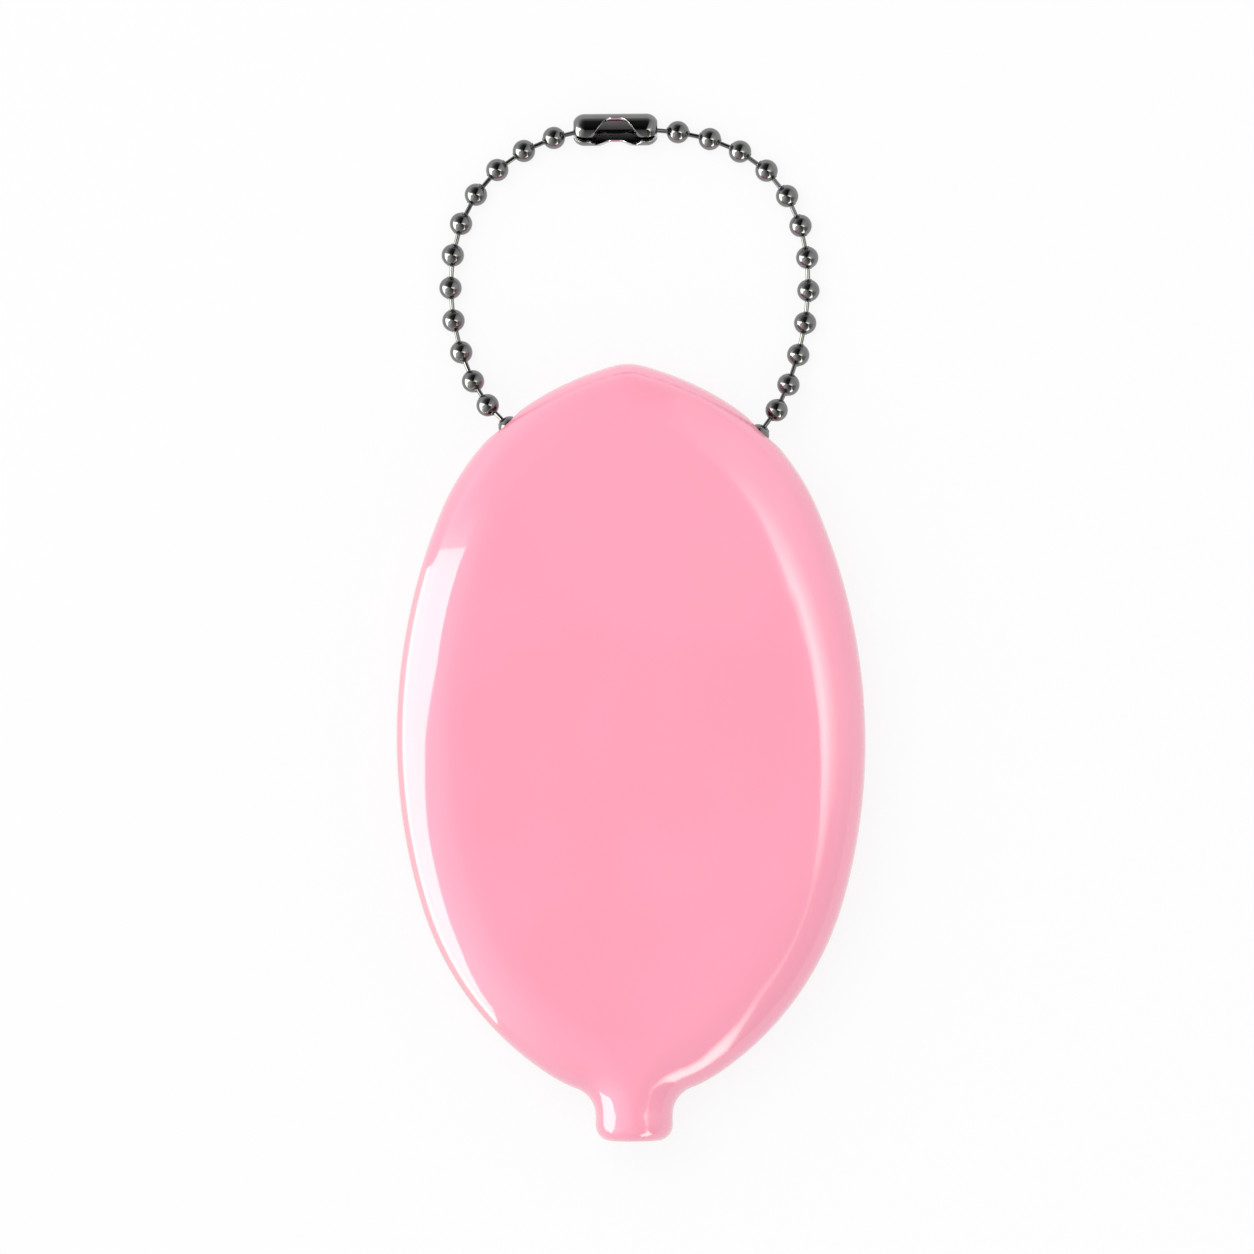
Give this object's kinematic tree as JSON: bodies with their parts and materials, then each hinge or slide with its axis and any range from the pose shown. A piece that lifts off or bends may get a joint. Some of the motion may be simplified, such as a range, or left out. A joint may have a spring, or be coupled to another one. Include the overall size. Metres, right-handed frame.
{
  "type": "squeeze coin purse",
  "caption": "Oval squeeze coin purse of soft glossy vinyl with a slit down its back and a ball chain threaded through its rim and closed by a snap connector.",
  "frame": {"origin": "on the flat back, on the slit, below the middle of the widest line", "axes": "+X to the right, +Y towards the chain, +Z out of the front face; the purse lies on its back"},
  "size_m": [0.0496, 0.1087, 0.0096],
  "materials": {
    "vinyl": "glossy",
    "chain_metal": "polished, dark nickel"
  },
  "bodies": {
    "shell": {"pouch_shell": "vinyl"},
    "left_flap": {"left_lip": "vinyl"},
    "right_flap": {"right_lip": "vinyl"},
    "chain_run": {"left_slit_bead": "chain_metal", "right_slit_bead": "chain_metal", "hidden_beads": "chain_metal", "hidden_links": "chain_metal"},
    "left_part_1": {"left_link_1": "chain_metal", "left_bead_1": "chain_metal"},
    "left_part_2": {"left_link_2": "chain_metal", "left_bead_2": "chain_metal"},
    "left_part_3": {"left_link_3": "chain_metal", "left_bead_3": "chain_metal"},
    "left_part_4": {"left_link_4": "chain_metal", "left_bead_4": "chain_metal"},
    "left_part_5": {"left_link_5": "chain_metal", "left_bead_5": "chain_metal"},
    "left_part_6": {"left_link_6": "chain_metal", "left_bead_6": "chain_metal"},
    "left_part_7": {"left_link_7": "chain_metal", "left_bead_7": "chain_metal"},
    "left_part_8": {"left_link_8": "chain_metal", "left_bead_8": "chain_metal"},
    "left_part_9": {"left_link_9": "chain_metal", "left_bead_9": "chain_metal"},
    "left_part_10": {"left_link_10": "chain_metal", "left_bead_10": "chain_metal"},
    "left_part_11": {"left_link_11": "chain_metal", "left_bead_11": "chain_metal"},
    "left_part_12": {"left_link_12": "chain_metal", "left_end_bead": "chain_metal"},
    "right_part_1": {"right_link_1": "chain_metal", "right_bead_1": "chain_metal"},
    "right_part_2": {"right_link_2": "chain_metal", "right_bead_2": "chain_metal"},
    "right_part_3": {"right_link_3": "chain_metal", "right_bead_3": "chain_metal"},
    "right_part_4": {"right_link_4": "chain_metal", "right_bead_4": "chain_metal"},
    "right_part_5": {"right_link_5": "chain_metal", "right_bead_5": "chain_metal"},
    "right_part_6": {"right_link_6": "chain_metal", "right_bead_6": "chain_metal"},
    "right_part_7": {"right_link_7": "chain_metal", "right_bead_7": "chain_metal"},
    "right_part_8": {"right_link_8": "chain_metal", "right_bead_8": "chain_metal"},
    "right_part_9": {"right_link_9": "chain_metal", "right_bead_9": "chain_metal"},
    "right_part_10": {"right_link_10": "chain_metal", "right_bead_10": "chain_metal"},
    "right_part_11": {"right_link_11": "chain_metal", "right_bead_11": "chain_metal"},
    "right_part_12": {"right_link_12": "chain_metal", "right_bead_12": "chain_metal"},
    "right_part_13": {"right_link_13": "chain_metal", "right_end_bead": "chain_metal"},
    "connector": {"chain_connector": "chain_metal"}
  },
  "joints": [
    {"name": "left_lip_bend", "type": "hinge", "parent": "shell", "child": "left_flap", "pos_m": [-0.017, 0, 0], "axis": [0, 1, 0], "range_deg": [0, 35], "stiffness_Nm_per_rad": 0.01, "springref_deg": -5.73},
    {"name": "right_lip_bend", "type": "hinge", "parent": "shell", "child": "right_flap", "pos_m": [0.017, 0, 0], "axis": [0, -1, 0], "range_deg": [0, 35], "stiffness_Nm_per_rad": 0.01, "springref_deg": -5.73},
    {"name": "chain_swing", "type": "hinge", "parent": "shell", "child": "chain_run", "pos_m": [0.00058, 0.03262, 0.0048], "axis": [0.9992, -0.0402, 0], "range_deg": [0, 100]},
    {"name": "left_bend_1", "type": "hinge", "parent": "chain_run", "child": "left_part_1", "pos_m": [-0.01325, 0.0339, 0.00451], "axis": [0, 0, -1], "range_deg": [0, 15.5]},
    {"name": "left_bend_2", "type": "hinge", "parent": "left_part_1", "child": "left_part_2", "pos_m": [-0.01534, 0.03633, 0.00332], "axis": [0, 0, -1], "range_deg": [0, 9.02]},
    {"name": "left_bend_3", "type": "hinge", "parent": "left_part_2", "child": "left_part_3", "pos_m": [-0.01678, 0.03907, 0.00184], "axis": [0, 0, -1], "range_deg": [-3.62, 0]},
    {"name": "left_bend_4", "type": "hinge", "parent": "left_part_3", "child": "left_part_4", "pos_m": [-0.01787, 0.04225, 0.0012], "axis": [0, 0, -1], "range_deg": [-10.77, 0]},
    {"name": "left_bend_5", "type": "hinge", "parent": "left_part_4", "child": "left_part_5", "pos_m": [-0.01851, 0.04564, 0.0012], "axis": [0, 0, -1], "range_deg": [-12.28, 0]},
    {"name": "left_bend_6", "type": "hinge", "parent": "left_part_5", "child": "left_part_6", "pos_m": [-0.01862, 0.04909, 0.0012], "axis": [0, 0, -1], "range_deg": [-10.12, 0]},
    {"name": "left_bend_7", "type": "hinge", "parent": "left_part_6", "child": "left_part_7", "pos_m": [-0.01815, 0.05251, 0.0012], "axis": [0, 0, -1], "range_deg": [-6.37, 0]},
    {"name": "left_bend_8", "type": "hinge", "parent": "left_part_7", "child": "left_part_8", "pos_m": [-0.01703, 0.05576, 0.0012], "axis": [0, 0, -1], "range_deg": [-3.06, 0]},
    {"name": "left_bend_9", "type": "hinge", "parent": "left_part_8", "child": "left_part_9", "pos_m": [-0.01521, 0.05868, 0.0012], "axis": [0, 0, -1], "range_deg": [-1.39, 0]},
    {"name": "left_bend_10", "type": "hinge", "parent": "left_part_9", "child": "left_part_10", "pos_m": [-0.01275, 0.06109, 0.0012], "axis": [0, 0, -1], "range_deg": [0, 1.39]},
    {"name": "left_bend_11", "type": "hinge", "parent": "left_part_10", "child": "left_part_11", "pos_m": [-0.00981, 0.06287, 0.0012], "axis": [0, 0, -1], "range_deg": [0, 5.37]},
    {"name": "left_bend_12", "type": "hinge", "parent": "left_part_11", "child": "left_part_12", "pos_m": [-0.00658, 0.06405, 0.00136], "axis": [0, 0, -1], "range_deg": [0, 11.47]},
    {"name": "right_bend_1", "type": "hinge", "parent": "chain_run", "child": "right_part_1", "pos_m": [0.01431, 0.03293, 0.00451], "axis": [0, 0, 1], "range_deg": [0, 18]},
    {"name": "right_bend_2", "type": "hinge", "parent": "right_part_1", "child": "right_part_2", "pos_m": [0.0161, 0.0356, 0.00332], "axis": [0, 0, 1], "range_deg": [0, 6.7]},
    {"name": "right_bend_3", "type": "hinge", "parent": "right_part_2", "child": "right_part_3", "pos_m": [0.01732, 0.03845, 0.00184], "axis": [0, 0, 1], "range_deg": [-3.85, 0]},
    {"name": "right_bend_4", "type": "hinge", "parent": "right_part_3", "child": "right_part_4", "pos_m": [0.0183, 0.04167, 0.0012], "axis": [0, 0, 1], "range_deg": [-9.47, 0]},
    {"name": "right_bend_5", "type": "hinge", "parent": "right_part_4", "child": "right_part_5", "pos_m": [0.01893, 0.04507, 0.0012], "axis": [0, 0, 1], "range_deg": [-10.6, 0]},
    {"name": "right_bend_6", "type": "hinge", "parent": "right_part_5", "child": "right_part_6", "pos_m": [0.01916, 0.04851, 0.0012], "axis": [0, 0, 1], "range_deg": [-8.44, 0]},
    {"name": "right_bend_7", "type": "hinge", "parent": "right_part_6", "child": "right_part_7", "pos_m": [0.01888, 0.05195, 0.0012], "axis": [0, 0, 1], "range_deg": [-4.79, 0]},
    {"name": "right_bend_8", "type": "hinge", "parent": "right_part_7", "child": "right_part_8", "pos_m": [0.01797, 0.05527, 0.0012], "axis": [0, 0, 1], "range_deg": [-1.91, 0]},
    {"name": "right_bend_9", "type": "hinge", "parent": "right_part_8", "child": "right_part_9", "pos_m": [0.01634, 0.05829, 0.0012], "axis": [0, 0, 1], "range_deg": [-1.39, 0]},
    {"name": "right_bend_10", "type": "hinge", "parent": "right_part_9", "child": "right_part_10", "pos_m": [0.01398, 0.06079, 0.0012], "axis": [0, 0, 1], "range_deg": [0, 1.39]},
    {"name": "right_bend_11", "type": "hinge", "parent": "right_part_10", "child": "right_part_11", "pos_m": [0.01107, 0.06262, 0.0012], "axis": [0, 0, 1], "range_deg": [0, 1.39]},
    {"name": "right_bend_12", "type": "hinge", "parent": "right_part_11", "child": "right_part_12", "pos_m": [0.00782, 0.06378, 0.0012], "axis": [0, 0, 1], "range_deg": [0, 1.39]},
    {"name": "right_bend_13", "type": "hinge", "parent": "right_part_12", "child": "right_part_13", "pos_m": [0.00444, 0.06439, 0.00136], "axis": [0, 0, 1], "range_deg": [0, 1.39]},
    {"name": "connector_turn", "type": "hinge", "parent": "right_part_13", "child": "connector", "pos_m": [0.0021, 0.0646, 0.0017], "axis": [0, 0, 1], "range_deg": [0, 10.21]}
  ],
  "couplings": [
    {"joint": "right_lip_bend", "follows": "left_lip_bend", "ratio": 1},
    {"joint": "left_bend_2", "follows": "left_bend_1", "ratio": 0.501},
    {"joint": "left_bend_3", "follows": "left_bend_1", "ratio": -0.201},
    {"joint": "left_bend_4", "follows": "left_bend_1", "ratio": -0.598},
    {"joint": "left_bend_5", "follows": "left_bend_1", "ratio": -0.682},
    {"joint": "left_bend_6", "follows": "left_bend_1", "ratio": -0.562},
    {"joint": "left_bend_7", "follows": "left_bend_1", "ratio": -0.354},
    {"joint": "left_bend_8", "follows": "left_bend_1", "ratio": -0.17},
    {"joint": "left_bend_9", "follows": "left_bend_1", "ratio": -0.077},
    {"joint": "left_bend_10", "follows": "left_bend_1", "ratio": 0.077},
    {"joint": "left_bend_11", "follows": "left_bend_1", "ratio": 0.298},
    {"joint": "left_bend_12", "follows": "left_bend_1", "ratio": 0.637},
    {"joint": "right_bend_1", "follows": "left_bend_1", "ratio": 1},
    {"joint": "right_bend_2", "follows": "left_bend_1", "ratio": 0.372},
    {"joint": "right_bend_3", "follows": "left_bend_1", "ratio": -0.214},
    {"joint": "right_bend_4", "follows": "left_bend_1", "ratio": -0.526},
    {"joint": "right_bend_5", "follows": "left_bend_1", "ratio": -0.589},
    {"joint": "right_bend_6", "follows": "left_bend_1", "ratio": -0.469},
    {"joint": "right_bend_7", "follows": "left_bend_1", "ratio": -0.266},
    {"joint": "right_bend_8", "follows": "left_bend_1", "ratio": -0.106},
    {"joint": "right_bend_9", "follows": "left_bend_1", "ratio": -0.077},
    {"joint": "right_bend_10", "follows": "left_bend_1", "ratio": 0.077},
    {"joint": "right_bend_11", "follows": "left_bend_1", "ratio": 0.077},
    {"joint": "right_bend_12", "follows": "left_bend_1", "ratio": 0.077},
    {"joint": "right_bend_13", "follows": "left_bend_1", "ratio": 0.077},
    {"joint": "connector_turn", "follows": "left_bend_1", "ratio": 0.567}
  ]
}
